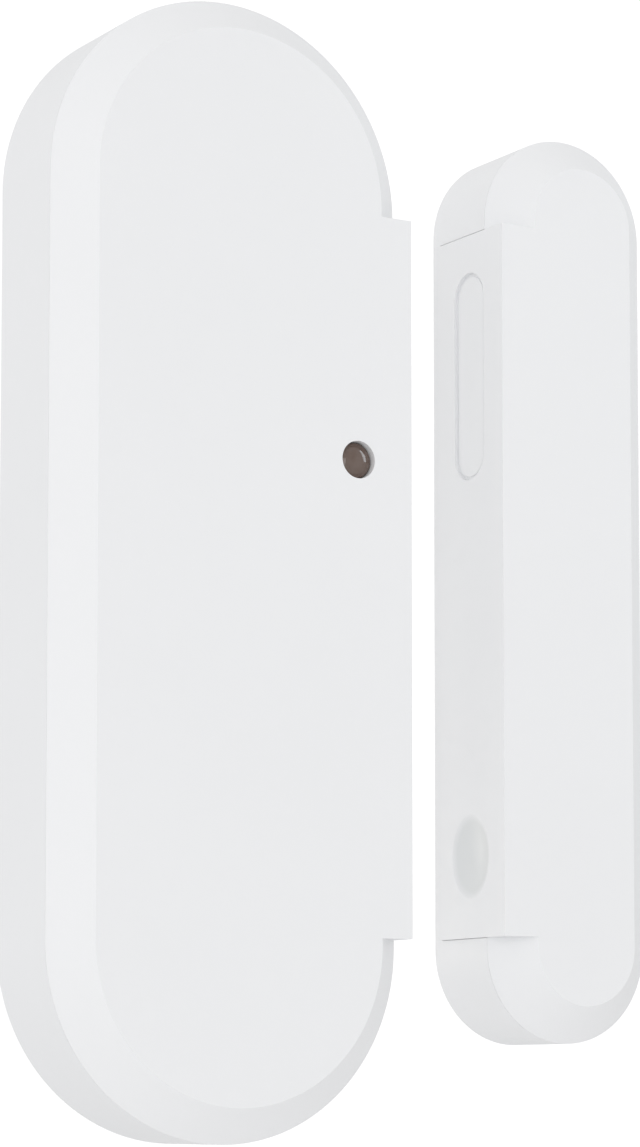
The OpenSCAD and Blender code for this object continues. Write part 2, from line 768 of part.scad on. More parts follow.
module bar_magnet() {
    color("darkgray") at_magnet() translate([magnet_bar_x, magnet_bar_y, 0])
        block(-bar_w/2, bar_w/2, -bar_l/2, bar_l/2, floor_top, floor_top + bar_t);
}

module magnet_adhesive_pad() {
    color("lightgray") at_magnet() adhesive_pad(magnet_pad_w, magnet_pad_l);
}

sensor_base();
sensor_cover();
sensor_adhesive_pad();
circuit_board();
board_screws();
reed_glass();
reed_blades();
status_led_lens();
status_led_legs();
status_led_spacer();
battery_tray();
battery_cell();
battery_strap();
battery_negative_contact();
tamper_switch_body();
tamper_plunger();
tamper_spring();
pairing_button_body();
pairing_button_cap();
controller_chip();
controller_pins();
radio_chip();
crystal_can();
buffer_capacitor();
chip_capacitors();
chip_resistors();
aerial_coil();
magnet_base();
magnet_cover();
bar_magnet();
magnet_adhesive_pad();
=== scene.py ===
"""Door contact sensor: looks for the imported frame.

Shapes are drawn in millimetres, in plan coordinates, and turned into the frame's metres by PLAN_TO_ROW.
"""
import json
import math

import bmesh
import bpy
from mathutils import Matrix, Vector


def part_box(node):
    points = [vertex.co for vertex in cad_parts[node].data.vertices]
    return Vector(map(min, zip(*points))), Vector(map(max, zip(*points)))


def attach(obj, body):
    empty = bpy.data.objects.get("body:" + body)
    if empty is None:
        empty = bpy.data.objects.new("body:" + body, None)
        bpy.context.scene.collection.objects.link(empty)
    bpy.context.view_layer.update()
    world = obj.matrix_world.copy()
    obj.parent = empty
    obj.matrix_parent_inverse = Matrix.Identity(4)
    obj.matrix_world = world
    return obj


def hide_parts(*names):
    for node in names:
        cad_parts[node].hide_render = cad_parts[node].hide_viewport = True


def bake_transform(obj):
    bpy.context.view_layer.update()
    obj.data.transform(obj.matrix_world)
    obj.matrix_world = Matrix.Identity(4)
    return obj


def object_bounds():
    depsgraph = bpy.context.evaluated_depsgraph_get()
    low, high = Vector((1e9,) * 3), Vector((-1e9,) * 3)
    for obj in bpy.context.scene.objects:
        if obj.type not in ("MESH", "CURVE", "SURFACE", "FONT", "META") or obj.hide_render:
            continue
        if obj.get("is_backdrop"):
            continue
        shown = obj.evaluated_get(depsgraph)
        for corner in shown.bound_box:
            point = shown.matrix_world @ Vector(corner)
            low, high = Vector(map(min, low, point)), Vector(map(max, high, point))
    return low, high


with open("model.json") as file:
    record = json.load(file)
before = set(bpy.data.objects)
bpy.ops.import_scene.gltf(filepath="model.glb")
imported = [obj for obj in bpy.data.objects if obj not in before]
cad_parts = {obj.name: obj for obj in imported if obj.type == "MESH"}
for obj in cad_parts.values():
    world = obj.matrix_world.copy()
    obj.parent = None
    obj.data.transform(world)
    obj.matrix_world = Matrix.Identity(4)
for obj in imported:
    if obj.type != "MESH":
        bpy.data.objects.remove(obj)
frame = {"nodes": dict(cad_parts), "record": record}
cad_low, cad_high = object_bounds()

MM = 0.001
# Plan coordinates are x across, y up the unit and z away from the wall, in millimetres.
PLAN_TO_ROW = Matrix(((MM, 0, 0, 0), (0, 0, -MM, 0), (0, MM, 0, 0), (0, 0, 0, 1)))
ARC_STEPS = 72
SEAM = 0.1  # between the side block's foot and the base's floor
RIM_SEAM = 0.04  # between the base's rim and the cover's shoulder
SEAM_DEPTH = 0.25  # how far the block's end seams reach inwards before the walls meet
WALL = 1.6
LIP_FIT = 0.15
LIP = 1.0
LIP_DEPTH = 2.0
REACH = 1.0  # how far cutting tools pass the surface that they cut
EDGE_ROUND = 0.3
SEAM_ROUND = 0.05
DETAIL_ROUND = 0.06


# ---------------------------------------------------------------- mesh helpers

def plan_box(node):
    """A node's lowest and highest corner in plan millimetres."""
    low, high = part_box(node)
    return (Vector((low.x, low.z, -high.y)) / MM, Vector((high.x, high.z, -low.y)) / MM)


def object_from(name, verts, faces):
    mesh = bpy.data.meshes.new(name)
    mesh.from_pydata(verts, [], faces)
    mesh.validate()
    obj = bpy.data.objects.new(name, mesh)
    bpy.context.scene.collection.objects.link(obj)
    return obj


def stadium(r, half, z):
    """Points of an upright round-ended outline at height z, counter-clockwise."""
    turns = [math.pi * i / ARC_STEPS for i in range(ARC_STEPS + 1)]
    upper = [Vector((r * math.cos(t), half + r * math.sin(t), z)) for t in turns]
    lower = [Vector((-r * math.cos(t), -half - r * math.sin(t), z)) for t in turns]
    return upper + lower


def circle(r, z, steps=64):
    turns = [2 * math.pi * i / steps for i in range(steps)]
    return [Vector((r * math.cos(t), r * math.sin(t), z)) for t in turns]


def loft(name, rings):
    """Closed solid through rings of equally many points."""
    count = len(rings[0])
    verts = [p for ring in rings for p in ring]
    faces = [list(range(count))[::-1], [(len(rings) - 1) * count + i for i in range(count)]]
    for a in range(len(rings) - 1):
        for i in range(count):
            j = (i + 1) % count
            faces.append([a * count + i, a * count + j, (a + 1) * count + j, (a + 1) * count + i])
    return object_from(name, verts, faces)


def bevelled(name, r, half, z0, z1, bevel):
    return loft(name, [stadium(r, half, z0), stadium(r, half, z1 - bevel), stadium(r - bevel, half, z1)])


def slab(name, r, half, z0, z1):
    return loft(name, [stadium(r, half, z0), stadium(r, half, z1)])


def rod(name, r, z0, z1, place=(0, 0)):
    shift = Vector((place[0], place[1], 0))
    return loft(name, [[p + shift for p in circle(r, z)] for z in (z0, z1)])


def block(name, x0, x1, y0, y1, z0, z1):
    corners = ((x0, y0), (x1, y0), (x1, y1), (x0, y1))
    return loft(name, [[Vector((x, y, z)) for x, y in corners] for z in (z0, z1)])


def lathe(name, profile, steps=96):
    """Solid turned about z from (radius, height) points, closed on the axis or else as a ring."""
    verts, rings, faces = [], [], []
    for r, z in profile:
        on_axis = r < 1e-6
        rings.append((len(verts), on_axis))
        verts += [Vector((0, 0, z))] if on_axis else circle(r, z, steps)
    pairs = list(zip(rings, rings[1:]))
    if not rings[0][1]:
        pairs.append((rings[-1], rings[0]))
    for (a, a_axis), (b, b_axis) in pairs:
        for i in range(steps):
            j = (i + 1) % steps
            near, next_near = (a, a) if a_axis else (a + i, a + j)
            far, next_far = (b, b) if b_axis else (b + i, b + j)
            faces.append(list(dict.fromkeys([near, far, next_far, next_near])))
    return object_from(name, verts, faces)


def sweep(name, path, r, sides=14):
    """Round wire along a path of points."""
    verts, faces = [], []
    side = None
    for i, point in enumerate(path):
        along = (path[min(i + 1, len(path) - 1)] - path[max(i - 1, 0)]).normalized()
        if side is None:
            side = along.orthogonal().normalized()
        side = (side - along * side.dot(along)).normalized()
        other = along.cross(side)
        for k in range(sides):
            turn = 2 * math.pi * k / sides
            verts.append(point + (side * math.cos(turn) + other * math.sin(turn)) * r)
    for i in range(len(path) - 1):
        for k in range(sides):
            n = (k + 1) % sides
            faces.append([i * sides + k, i * sides + n, (i + 1) * sides + n, (i + 1) * sides + k])
    faces.append(list(range(sides))[::-1])
    faces.append([(len(path) - 1) * sides + k for k in range(sides)])
    return object_from(name, verts, faces)


def ribbon(name, path, width, z0, z1):
    """Flat strip along a path in the plan, with mitred corners."""
    left, right = [], []
    points = [Vector(p) for p in path]
    for i, p in enumerate(points):
        before = (p - points[i - 1]).normalized() if i else (points[1] - p).normalized()
        after = (points[i + 1] - p).normalized() if i + 1 < len(points) else before
        out = Vector((-(before + after).y, (before + after).x)).normalized()
        reach = width / 2 / max(out.dot(Vector((-before.y, before.x))), 0.3)
        left.append(p + out * reach)
        right.append(p - out * reach)
    outline = left + right[::-1]
    return loft(name, [[Vector((p.x, p.y, z)) for p in outline] for z in (z0, z1)])


def gather(name, parts):
    """One object from several, each a closed solid of its own."""
    bm = bmesh.new()
    for part in parts:
        bm.from_mesh(part.data)
        bpy.data.objects.remove(part)
    mesh = bpy.data.meshes.new(name)
    bm.to_mesh(mesh)
    bm.free()
    obj = bpy.data.objects.new(name, mesh)
    bpy.context.scene.collection.objects.link(obj)
    return obj


def bake(obj):
    """Applies the object's modifiers."""
    bpy.context.view_layer.update()
    shape = obj.evaluated_get(bpy.context.evaluated_depsgraph_get())
    mesh = bpy.data.meshes.new_from_object(shape)
    obj.modifiers.clear()
    old = obj.data
    obj.data = mesh
    bpy.data.meshes.remove(old)


def combine(base, tool, operation):
    change = base.modifiers.new("combine", "BOOLEAN")
    change.operation = operation
    change.solver = "EXACT"
    change.object = tool
    bake(base)
    bpy.data.objects.remove(tool)
    return base


def join(base, *tools):
    for tool in tools:
        combine(base, tool, "UNION")
    return base


def cut(base, *tools):
    for tool in tools:
        combine(base, tool, "DIFFERENCE")
    return base


def tidy_mesh(obj, flat_angle=0.05):
    """Merges doubles and joins faces that lie in one plane."""
    bm = bmesh.new()
    bm.from_mesh(obj.data)
    bmesh.ops.remove_doubles(bm, verts=bm.verts, dist=0.001)
    bmesh.ops.dissolve_limit(bm, angle_limit=math.radians(flat_angle), verts=bm.verts, edges=bm.edges)
    bmesh.ops.recalc_face_normals(bm, faces=bm.faces)
    bm.to_mesh(obj.data)
    bm.free()


def weigh_edges(obj, share, angle):
    """Gives each sharp edge its share of the rounding, by the place of its middle."""
    bm = bmesh.new()
    bm.from_mesh(obj.data)
    layer = bm.edges.layers.float.get("bevel_weight_edge") or bm.edges.layers.float.new("bevel_weight_edge")
    for edge in bm.edges:
        sharp = len(edge.link_faces) == 2 and edge.calc_face_angle(0) > math.radians(angle)
        middle = (edge.verts[0].co + edge.verts[1].co) / 2
        edge[layer] = share(middle) if sharp else 0.0
    bm.to_mesh(obj.data)
    bm.free()


def settle_normals(obj, angle=40):
    """Smooth shading: large faces keep their own direction, and narrow roundings bend between them."""
    mesh = obj.data
    around = [[] for _ in mesh.vertices]
    for face in mesh.polygons:
        for v in face.vertices:
            around[v].append((face.normal.copy(), face.area))
    limit = math.cos(math.radians(angle))
    normals = []
    for face in mesh.polygons:
        own = face.normal.copy()
        for v in face.vertices:
            near = [n * area for n, area in around[v] if n.dot(own) > limit]
            normals.append(sum(near, Vector()).normalized() if near else own)
    mesh.normals_split_custom_set(normals)


def soften(obj, width, segments=3, angle=25, share=None):
    """Rounds edges sharper than the angle, all alike or each by its share, and shades the rest smooth."""
    for name in ("custom_normal", "sharp_edge", "sharp_face"):
        if name in obj.data.attributes:
            obj.data.attributes.remove(obj.data.attributes[name])
    tidy_mesh(obj)
    obj.data.shade_smooth()
    rounding = obj.modifiers.new("rounding", "BEVEL")
    rounding.width = width
    rounding.segments = segments
    rounding.limit_method = "WEIGHT" if share else "ANGLE"
    rounding.angle_limit = math.radians(angle)
    if share:
        weigh_edges(obj, share, angle)
    bake(obj)
    settle_normals(obj)
    return obj


def shade(obj, angle=30):
    """Smooth shading with sharp edges kept."""
    tidy_mesh(obj, 0.001)
    obj.data.shade_smooth()
    obj.data.set_sharp_from_angle(angle=math.radians(angle))
    return obj


# ---------------------------------------------------------------- materials

class Nodes:
    """A material's node tree, with short calls for the nodes that are used here."""

    def __init__(self, name):
        self.material = bpy.data.materials.new(name)
        self.material.use_nodes = True
        self.tree = self.material.node_tree
        self.shader = self.tree.nodes["Principled BSDF"]

    def add(self, kind, **inputs):
        node = self.tree.nodes.new(kind)
        for key, value in inputs.items():
            name = key.replace("_", " ")
            if name not in node.inputs:
                setattr(node, key, value)
            elif hasattr(value, "is_output"):
                self.tree.links.new(value, node.inputs[name])
            else:
                node.inputs[name].default_value = value
        return node

    def coords(self, scale=(1, 1, 1)):
        place_in = self.add("ShaderNodeTexCoord").outputs["Object"]
        return self.add("ShaderNodeMapping", Vector=place_in, Scale=scale).outputs["Vector"]

    def noise(self, scale, detail=2.0, stretch=(1, 1, 1)):
        vector = self.coords(stretch)
        return self.add("ShaderNodeTexNoise", Vector=vector, Scale=scale, Detail=detail).outputs["Fac"]

    def ramp(self, factor, low, high, start=0.3, end=0.7):
        node = self.add("ShaderNodeValToRGB", Fac=factor)
        for element, at, value in zip(node.color_ramp.elements, (start, end), (low, high)):
            element.position = at
            element.color = (*value, 1) if isinstance(value, tuple) else (value, value, value, 1)
        return node.outputs["Color"]

    def link(self, output, socket):
        self.tree.links.new(output, self.shader.inputs[socket])

    def bump(self, height, strength, distance):
        node = self.add("ShaderNodeBump", Height=height, Strength=strength, Distance=distance)
        self.link(node.outputs["Normal"], "Normal")

    def fixed(self, **values):
        for key, value in values.items():
            self.shader.inputs[key.replace("_", " ")].default_value = value


def shifted(colour, by):
    return tuple(min(max(c + by, 0), 1) for c in colour)


def plastic(name, colour, roughness=0.45, grain=0.12, spread=0.012, grain_scale=5200.0):
    """Moulded plastic: fine spark-eroded grain, patches of slightly other gloss, a faint drift in shade."""
    n = Nodes(name)
    n.link(n.ramp(n.noise(60.0, 3.0), shifted(colour, -spread), shifted(colour, spread)), "Base Color")
    n.link(n.ramp(n.noise(900.0), roughness - 0.05, roughness + 0.05), "Roughness")
    n.bump(n.noise(grain_scale, 3.0), grain, 0.00004)
    return n


def painted_dimple_shade(n, centre, radii, tint):
    """The same finish, darker inside an ellipsoid: painted shade in the thumb dimple."""
    middle = n.add("ShaderNodeVectorMath", operation="SUBTRACT")
    stretch = n.add("ShaderNodeVectorMath", operation="DIVIDE")
    reach = n.add("ShaderNodeVectorMath", operation="LENGTH")
    middle.inputs[1].default_value = centre
    stretch.inputs[1].default_value = radii
    n.tree.links.new(n.add("ShaderNodeTexCoord").outputs["Object"], middle.inputs[0])
    n.tree.links.new(middle.outputs["Vector"], stretch.inputs[0])
    n.tree.links.new(stretch.outputs["Vector"], reach.inputs[0])
    # Painted shade: inside the ellipsoid the base colour is multiplied by the tint, fading out towards its
    # edge.
    mask = n.ramp(reach.outputs["Value"], tint, 1.0, 0.80, 0.98)
    mix = n.add("ShaderNodeVectorMath", operation="MULTIPLY")
    plain = n.shader.inputs["Base Color"].links[0].from_socket
    n.tree.links.new(plain, mix.inputs[0])
    n.tree.links.new(mask, mix.inputs[1])
    n.link(mix.outputs["Vector"], "Base Color")
    return n


def foam(name, colour):
    """Closed-cell foam tape: small cells, with painted shade darkening their bottoms."""
    n = Nodes(name)
    cells = n.add("ShaderNodeTexVoronoi", Vector=n.coords(), Scale=2600.0).outputs["Distance"]
    # Painted shade: the colour is darkest at the cells' middles, where the bump makes pits.
    n.link(n.ramp(cells, shifted(colour, -0.16), shifted(colour, 0.03), 0.0, 0.6), "Base Color")
    n.fixed(Roughness=0.9)
    n.bump(cells, 0.6, 0.00015)
    return n


def metal(name, colour, roughness=0.28, brush=0.3, stretch=(1, 1, 0.05)):
    """Plated or drawn metal: fine drawing lines and slight tarnish."""
    n = Nodes(name)
    n.fixed(Metallic=1.0)
    tarnish = n.noise(420.0, 5.0)
    n.link(n.ramp(tarnish, tuple(c * 0.84 for c in colour), colour), "Base Color")
    n.link(n.ramp(tarnish, roughness + 0.09, roughness - 0.04), "Roughness")
    n.bump(n.noise(7000.0, 2.0, stretch), brush, 0.00002)
    return n


def clear(name, tint, ior, transmission=1.0, roughness=0.03):
    """Glass or epoxy with a faint cloud in its tint and a lightly worn surface."""
    n = Nodes(name)
    n.fixed(IOR=ior, Transmission_Weight=transmission)
    n.link(n.ramp(n.noise(700.0, 3.0), tint, shifted(tint, 0.05)), "Base Color")
    n.link(n.ramp(n.noise(1800.0), roughness, roughness + 0.04), "Roughness")
    n.bump(n.noise(2500.0), 0.04, 0.00002)
    return n


def glass_weave(name, colour):
    """Solder mask over woven glass laminate: the weave shows through as faint crossed threads."""
    n = Nodes(name)
    threads = []
    for axis in ("X", "Z"):
        wave = n.add("ShaderNodeTexWave", Vector=n.coords(), Scale=520.0, bands_direction=axis)
        threads.append(wave.outputs["Fac"])
    weave = n.add("ShaderNodeMath", operation="MULTIPLY")
    for thread, socket in zip(threads, weave.inputs):
        n.tree.links.new(thread, socket)
    height = weave.outputs["Value"]
    n.link(n.ramp(height, shifted(colour, -0.006), shifted(colour, 0.01), 0.0, 1.0), "Base Color")
    n.link(n.ramp(n.noise(900.0), 0.2, 0.32), "Roughness")
    n.bump(height, 0.15, 0.00003)
    return n


def banded(name, colour, spread):
    """Pressed ceramic or moulded resin, speckled, with a coarse matt grain."""
    n = plastic(name, colour, 0.55, 0.35, spread, 3400.0)
    speckle = n.noise(9000.0, 1.0)
    n.link(n.ramp(speckle, shifted(colour, -spread), shifted(colour, spread), 0.4, 0.6), "Base Color")
    return n


WHITE_ABS = (0.845, 0.851, 0.863)
MASK_GREEN = (0.010, 0.095, 0.040)
HOUSING = {"colour": WHITE_ABS, "roughness": 0.48, "grain": 0.10, "spread": 0.004}
white_abs = plastic("white_abs", **HOUSING)
# This copy of the housing finish carries painted shade in the thumb dimple.
abs_with_painted_shade = plastic("white_abs_painted_shade", **HOUSING)
finishes = {
    "sensor_housing": white_abs,
    "sensor_cover": white_abs,
    "magnet_housing": white_abs,
    "magnet_cover": abs_with_painted_shade,
    "adhesive_foam": foam("foam_tape", (0.74, 0.74, 0.72)),
    "board": glass_weave("solder_mask", MASK_GREEN),
    "screw_steel": metal("zinc_plate", (0.68, 0.68, 0.66), 0.30),
    "reed_glass": clear("reed_glass", (0.78, 0.92, 0.83), 1.5),
    "reed_alloy": metal("reed_alloy", (0.62, 0.60, 0.55), 0.25),
    "lens": clear("smoked_lens", (0.148, 0.096, 0.074), 1.53, 0.25, 0.05),
    "tinned_steel": metal("tinned_steel", (0.80, 0.80, 0.79), 0.20),
    "black_plastic": plastic("black_plastic", (0.018, 0.018, 0.019), 0.5, 0.3, 0.004, 3600.0),
    "cell_steel": metal("pressed_steel", (0.74, 0.74, 0.73), 0.22, 0.5, (1, 1, 0.03)),
    "spring_steel": metal("nickel_spring", (0.72, 0.72, 0.71), 0.22),
    "gold_contact": metal("gold_flash", (0.87, 0.62, 0.24), 0.20),
    "plunger_plastic": plastic("acetal", (0.76, 0.76, 0.74), 0.35, 0.2, 0.01),
    "red_plastic": plastic("red_button", (0.46, 0.022, 0.016), 0.38, 0.2, 0.02),
    "chip_resin": banded("chip_resin", (0.016, 0.016, 0.018), 0.006),
    "can_steel": metal("drawn_can", (0.76, 0.76, 0.74), 0.18),
    "tantalum_resin": banded("tantalum_resin", (0.66, 0.37, 0.03), 0.03),
    "capacitor_ceramic": banded("ceramic", (0.33, 0.20, 0.10), 0.03),
    "resistor_glaze": banded("glaze", (0.014, 0.014, 0.016), 0.004),
    "copper_wire": metal("copper_wire", (0.84, 0.40, 0.22), 0.20),
    "magnet_alloy": metal("nickel_plate", (0.62, 0.62, 0.63), 0.18, 0.15),
}
for finish in finishes.values():
    finish.material.use_fake_user = True
slots = {row["node"]: row["material_slot"] for row in frame["record"]["subparts"]}
bodies = frame["record"]["behaviour"]["bodies"]
rides_on = {node: body for body, members in bodies.items() for node in members}


def place(obj, matrix, slot, body, *nodes):
    obj.data.transform(matrix)
    obj.data.materials.clear()
    obj.data.materials.append(finishes[slot].material)
    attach(obj, body)
    if nodes:
        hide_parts(*nodes)
    return obj


def dress(obj, node):
    """Puts a solid drawn in plan coordinates in its node's place."""
    obj.name = node + "_piece"
    return place(obj, PLAN_TO_ROW, slots[node], rides_on[node], node)


def add_trim(obj, name, slot, body):
    """A small detail that the node beside it carries."""
    obj.name = name
    return place(obj, PLAN_TO_ROW, slot, body)


def node_solid(node):
    """A copy of a node's mesh in plan coordinates."""
    obj = object_from(node + "_copy", [], [])
    obj.data = frame["nodes"][node].data.copy()
    obj.data.materials.clear()
    obj.data.transform(PLAN_TO_ROW.inverted())
    return obj


# ---------------------------------------------------------------- housings

class Unit:
    """Plan sizes of one housing, read from the frame's cover and base."""

    def __init__(self, prefix, side, bevel, block_l, proud, screw_span, screw_r, seams):
        base_low, base_high = plan_box(prefix + "_base")
        cover_low, cover_high = plan_box(prefix + "_cover")
        self.prefix = prefix
        self.side = side
        self.bevel = bevel
        self.block_half = block_l / 2
        self.proud = proud
        self.screw_span = screw_span
        self.screw_r = screw_r
        self.seams = seams
        self.x = (base_low.x + base_high.x) / 2
        self.y = (base_low.y + base_high.y) / 2
        self.r = (base_high.x - base_low.x) / 2
        self.half = (base_high.y - base_low.y) / 2 - self.r
        self.back = base_low.z
        self.front = cover_high.z
        self.shoulder = self.front - bevel
        self.rim = self.shoulder - RIM_SEAM
        self.block_foot = cover_low.z
        self.floor_top = self.block_foot - SEAM
        self.lip_r = self.r - WALL - LIP_FIT
        self.matrix = PLAN_TO_ROW @ Matrix.Translation((self.x, self.y, 0))

    def side_block(self, name, inner, outer, half, z0, z1, ends=(0, 0)):
        x0, x1 = sorted((self.side * inner, self.side * outer))
        return block(name, x0, x1, -half - ends[0], half + ends[1], z0, z1)


def cover_shell(unit):
    inner_bevel = unit.bevel - WALL * (2 - math.sqrt(2))
    shell = bevelled("shell", unit.r, unit.half, unit.shoulder, unit.front, unit.bevel)
    inner = unit.r - unit.bevel - REACH
    outer = unit.r + unit.proud
    join(shell, unit.side_block("side_block", inner, outer, unit.block_half, unit.block_foot, unit.front))
    cut(shell, bevelled("cavity", unit.r - WALL, unit.half, unit.back, unit.front - WALL, inner_bevel))
    lip_foot = unit.shoulder - LIP_DEPTH
    lip = slab("lip", unit.lip_r, unit.half, lip_foot, unit.shoulder + LIP / 2)
    cut(lip, slab("lip_inside", unit.lip_r - LIP, unit.half, lip_foot - REACH, unit.shoulder + LIP),
        unit.side_block("lip_gap", 0, unit.r + REACH, unit.block_half + LIP, unit.back, unit.front))
    catch_z = lip_foot + CATCH_RISE
    for y in (-CATCH_SPREAD, 0, CATCH_SPREAD):
        x0, x1 = sorted((-unit.side * (unit.lip_r + CATCH_PROUD), -unit.side * (unit.lip_r - LIP / 2)))
        join(lip, block("catch", x0, x1, y - CATCH_L / 2, y + CATCH_L / 2, catch_z, catch_z + CATCH_T))
    return join(shell, lip)


def base_shell(unit):
    shell = slab("shell", unit.r, unit.half, unit.back, unit.rim)
    cut(shell, slab("cavity", unit.r - WALL, unit.half, unit.floor_top, unit.rim + REACH),
        unit.side_block("block_gap", unit.r - WALL - REACH, unit.r + REACH, unit.block_half + END_TOUCH,
                        unit.floor_top, unit.rim + REACH),
        unit.side_block("end_seams", unit.r - SEAM_DEPTH, unit.r + REACH, unit.block_half,
                        unit.floor_top, unit.rim + REACH, unit.seams))
    ring_foot = unit.floor_top - (unit.floor_top - unit.back) / 2
    ring_top = unit.floor_top + RING_H
    for y in (-unit.screw_span / 2, unit.screw_span / 2):
        join(shell, rod("ring", unit.screw_r + RING_W, ring_foot, ring_top, (0, y)))
        cut(shell, rod("hole", unit.screw_r, unit.back - REACH, ring_top + REACH, (0, y)))
    return shell


def round_shell(shell, unit):
    """Wide rounding on the front face's edges and on the back, narrow rounding at the seams and inside."""
    def share(p):
        at_front = p.z > unit.front - NEAR
        at_back = p.z < unit.back + NEAR and abs(p.x) > unit.screw_r + RING_W
        block_corner = abs(p.x) > unit.r - NEAR and p.z > unit.shoulder + NEAR
        return 1.0 if at_front or at_back or block_corner else SEAM_ROUND / EDGE_ROUND
    return soften(shell, EDGE_ROUND, share=share)


def finish_shell(shell, unit, part, cuts=(), rims=None):
    """Rounds a shell and puts it in place. Late cuts get their own rounding, on the edges that rims finds."""
    name = unit.prefix + "_" + part
    round_shell(shell, unit)
    if cuts:
        cut(shell, *cuts)
        soften(shell, DETAIL_ROUND, 2, 20, lambda p: 1.0 if rims(p) else 0.0)
    shell.name = name + "_piece"
    place(shell, unit.matrix, slots[name], rides_on[name], name)


NEAR = 0.01
END_TOUCH = 0.01
RING_W = 1.8
RING_H = 0.9
CATCH_SPREAD = 19
CATCH_L = 6
CATCH_RISE = 0.4
CATCH_T = 0.6
CATCH_PROUD = 0.1
LIGHT_HOLE_FIT = 0.1
sensor = Unit("sensor", side=1, bevel=3.0, block_l=61.6, proud=0.0, screw_span=77, screw_r=1.8,
              seams=(0.1, 0.1))
magnet = Unit("magnet", side=-1, bevel=3.2, block_l=62.3, proud=0.3, screw_span=66, screw_r=1.6,
              seams=(0.03, 0.2))

board_low, board_high = plan_box("circuit_board")
screws_low, screws_high = plan_box("board_screws")
lens_low, lens_high = plan_box("status_led_lens")
led_at = (lens_low.xy + lens_high.xy) / 2
LENS_R = 1.5
COLLAR_H = 1.0
COLLAR_EDGE = 0.08
DOME_H = 0.5
SCREW_HEAD_R = 1.8
BOSS_R = 2.3
BOSS_HOLE_R = 0.92
SCREW_SKIN = 0.3
LEDGE_W = 1.4
LEDGE_L = 40
screw_places = [(screws_low.x + SCREW_HEAD_R, screws_high.y - SCREW_HEAD_R),
                (screws_high.x - SCREW_HEAD_R, screws_low.y + SCREW_HEAD_R)]

cover = cover_shell(sensor)
light_hole = rod("light_hole", LENS_R + LIGHT_HOLE_FIT, lens_low.z, sensor.front + REACH, led_at)
light_rim = LENS_R + 2 * LIGHT_HOLE_FIT
finish_shell(cover, sensor, "cover", [light_hole], lambda p: (p.xy - led_at).length < light_rim)

base = base_shell(sensor)
FLOOR_SINK = 0.5
inside_floor = sensor.floor_top - FLOOR_SINK
for spot in screw_places:
    join(base, rod("boss", BOSS_R, inside_floor, board_low.z, spot))
    cut(base, rod("boss_hole", BOSS_HOLE_R, sensor.back + SCREW_SKIN, board_low.z + REACH, spot))
for x in (board_low.x, board_high.x - LEDGE_W):
    join(base, block("ledge", x, x + LEDGE_W, -LEDGE_L / 2, LEDGE_L / 2, inside_floor, board_low.z))
finish_shell(base, sensor, "base")

# The label recess and the thumb dimple are drawn flat, then turned onto the magnet block's side face.
LABEL = {"l": 18.5, "w": 4.6, "depth": 0.2, "y": 18.5, "groove_w": 0.3, "groove_depth": 0.32}
DIMPLE = {"l": 7.6, "w": 6.0, "depth": 0.7, "y": -24}
FEATURE_H = 6.2
DIMPLE_RINGS = 20
DIMPLE_CURVE = 1.25
DIMPLE_RISE = 0.004
# The magnet cover's base colour is darkened inside the dimple's ellipsoid: painted shade.
DIMPLE_SHADE_DEPTH = 6
DIMPLE_PAINTED_SHADE = (0.905, 0.915, 0.905)
RIM_REACH = 0.05
magnet_face = -magnet.r - magnet.proud
painted_dimple_shade(abs_with_painted_shade, magnet.matrix @ Vector((magnet_face, DIMPLE["y"], magnet.back + FEATURE_H)),
       Vector((DIMPLE_SHADE_DEPTH, DIMPLE["w"] / 2, DIMPLE["l"] / 2)) * MM, DIMPLE_PAINTED_SHADE)


def onto_side_face(obj, y):
    turn = Matrix(((0, 0, -1, magnet_face), (0, 1, 0, y), (1, 0, 0, magnet.back + FEATURE_H), (0, 0, 0, 1)))
    obj.data.transform(turn)
    return obj


def dimple_tool():
    """Shallow bowl with a soft rim, which starts just above the face."""
    half_w, half_l = DIMPLE["w"] / 2, DIMPLE["l"] / 2
    rings = []
    for i in range(DIMPLE_RINGS + 1):
        share = 1 - i / (DIMPLE_RINGS + 0.5)
        z = DIMPLE_RISE - DIMPLE["depth"] * (1 - share ** 2) ** DIMPLE_CURVE
        rings.append([Vector((p.x * half_w, p.y * half_l, z)) for p in circle(share, 0)])
    lid = [Vector((p.x, p.y, REACH)) for p in rings[0]]
    return loft("dimple", [lid] + rings)


def on_side_rim(p):
    """True close to the recess or the dimple."""
    if abs(p.x - magnet_face) > DIMPLE["depth"] + RIM_REACH:
        return False
    rise = abs(p.z - magnet.back - FEATURE_H)
    return any(abs(p.y - form["y"]) < form["l"] / 2 + RIM_REACH and rise < form["w"] / 2 + RIM_REACH
               for form in (LABEL, DIMPLE))


cover = cover_shell(magnet)
label_half = (LABEL["l"] - LABEL["w"]) / 2
recess = slab("recess", LABEL["w"] / 2, label_half, -LABEL["groove_depth"], REACH)
cut(recess, slab("recess_floor", LABEL["w"] / 2 - LABEL["groove_w"], label_half, -REACH, -LABEL["depth"]))
tool = dimple_tool()
tidy_mesh(tool)
bar_low, bar_high = plan_box("bar_magnet")
bar_x, bar_y = (bar_low.x + bar_high.x) / 2 - magnet.x, (bar_low.y + bar_high.y) / 2 - magnet.y
BAR_FIT = 0.15
HOLD_DOWN = {"spread": 9, "w": 4, "t": 1}
hold_x, hold_y = HOLD_DOWN["w"] / 2, HOLD_DOWN["t"] / 2
for y in (bar_y - HOLD_DOWN["spread"], bar_y + HOLD_DOWN["spread"]):
    join(cover, block("hold_down", bar_x - hold_x, bar_x + hold_x, y - hold_y, y + hold_y,
                      bar_high.z + BAR_FIT, magnet.front - WALL / 2))
finish_shell(cover, magnet, "cover", [onto_side_face(recess, LABEL["y"]), onto_side_face(tool, DIMPLE["y"])],
             on_side_rim)

